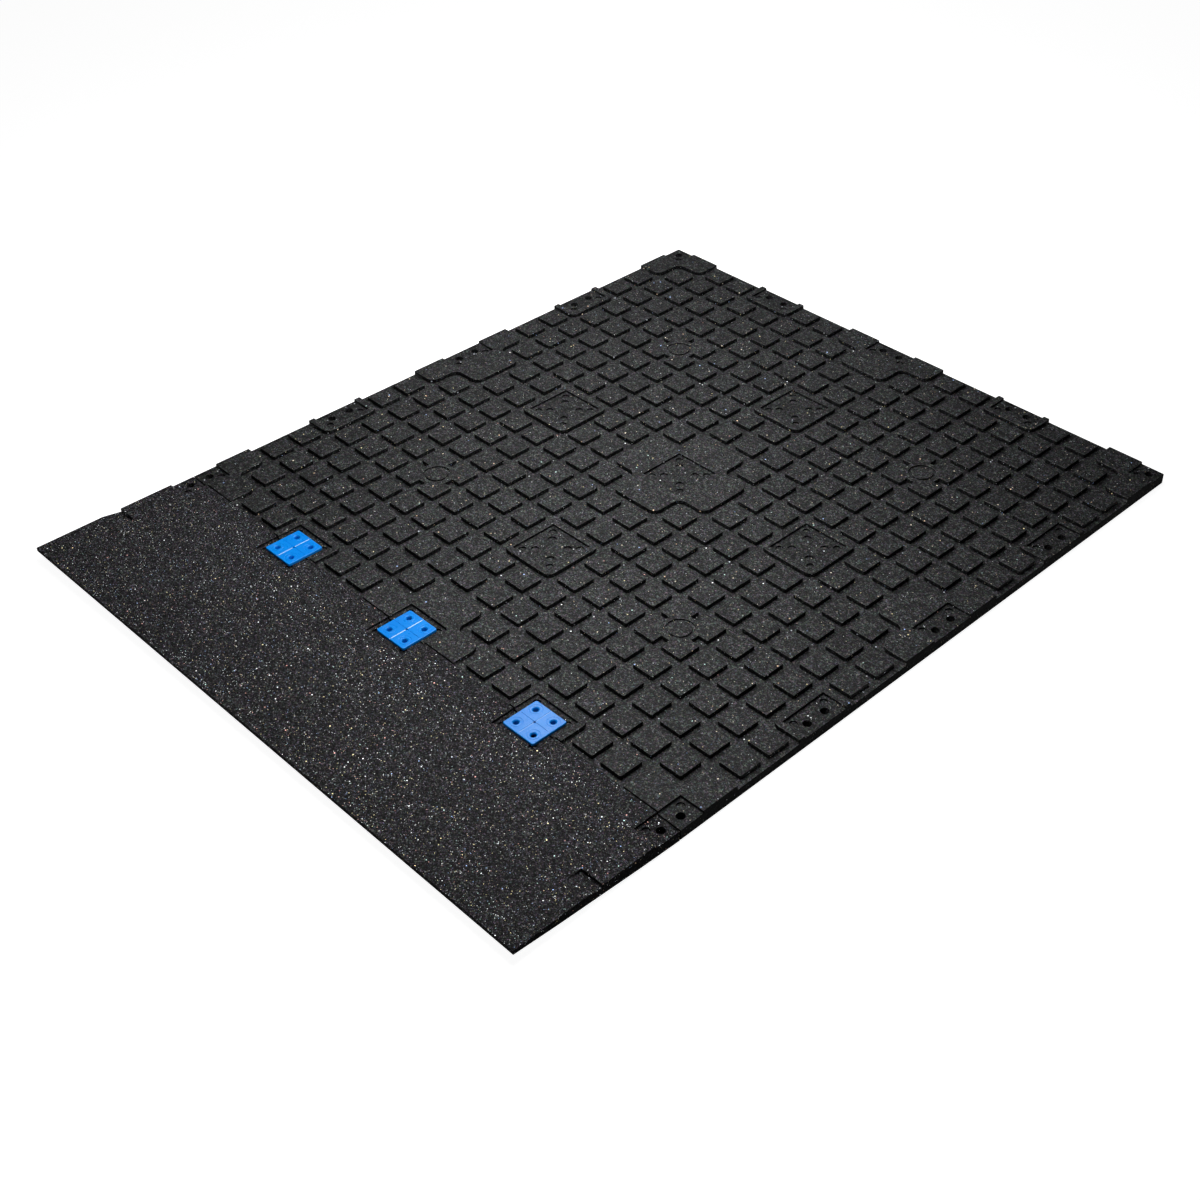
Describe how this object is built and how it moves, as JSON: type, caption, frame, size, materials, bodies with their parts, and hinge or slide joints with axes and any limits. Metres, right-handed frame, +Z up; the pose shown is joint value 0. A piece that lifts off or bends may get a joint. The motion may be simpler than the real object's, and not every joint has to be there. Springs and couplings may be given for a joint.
{
  "type": "modular rubber floor mat with ramp edge",
  "caption": "Studded rubber-granulate floor tile joined to a bevelled ramp tile by sunk peg plates, shown studded underside up.",
  "frame": {"origin": "centre of the footprint, on the plane of the tread face that the mat lies on", "axes": "+X along the seam, +Y from the ramp's thin edge to the mat's far edge, +Z up, out of the studded underside"},
  "size_m": [1, 1.25, 0.02],
  "materials": {
    "mat_rubber": "matt pressed granulate with sparse coloured flecks",
    "ramp_rubber": "matt pressed granulate with dense coloured flecks",
    "plate_plastic": "satin moulded"
  },
  "bodies": {
    "main_mat": {"main_mat": "mat_rubber"},
    "ramp": {"ramp_tile": "ramp_rubber"},
    "plate_left": {"connector_plate_left": "plate_plastic"},
    "plate_middle": {"connector_plate_middle": "plate_plastic"},
    "plate_right": {"connector_plate_right": "plate_plastic"}
  },
  "joints": [
    {"name": "ramp_lift_off", "type": "slide", "parent": "main_mat", "child": "ramp", "axis": [0, 0, 1], "range_m": [0, 0.06]},
    {"name": "plate_left_pull_out", "type": "slide", "parent": "ramp", "child": "plate_left", "axis": [0, 0, 1], "range_m": [0, 0.04]},
    {"name": "plate_middle_pull_out", "type": "slide", "parent": "ramp", "child": "plate_middle", "axis": [0, 0, 1], "range_m": [0, 0.04]},
    {"name": "plate_right_pull_out", "type": "slide", "parent": "ramp", "child": "plate_right", "axis": [0, 0, 1], "range_m": [0, 0.04]}
  ]
}
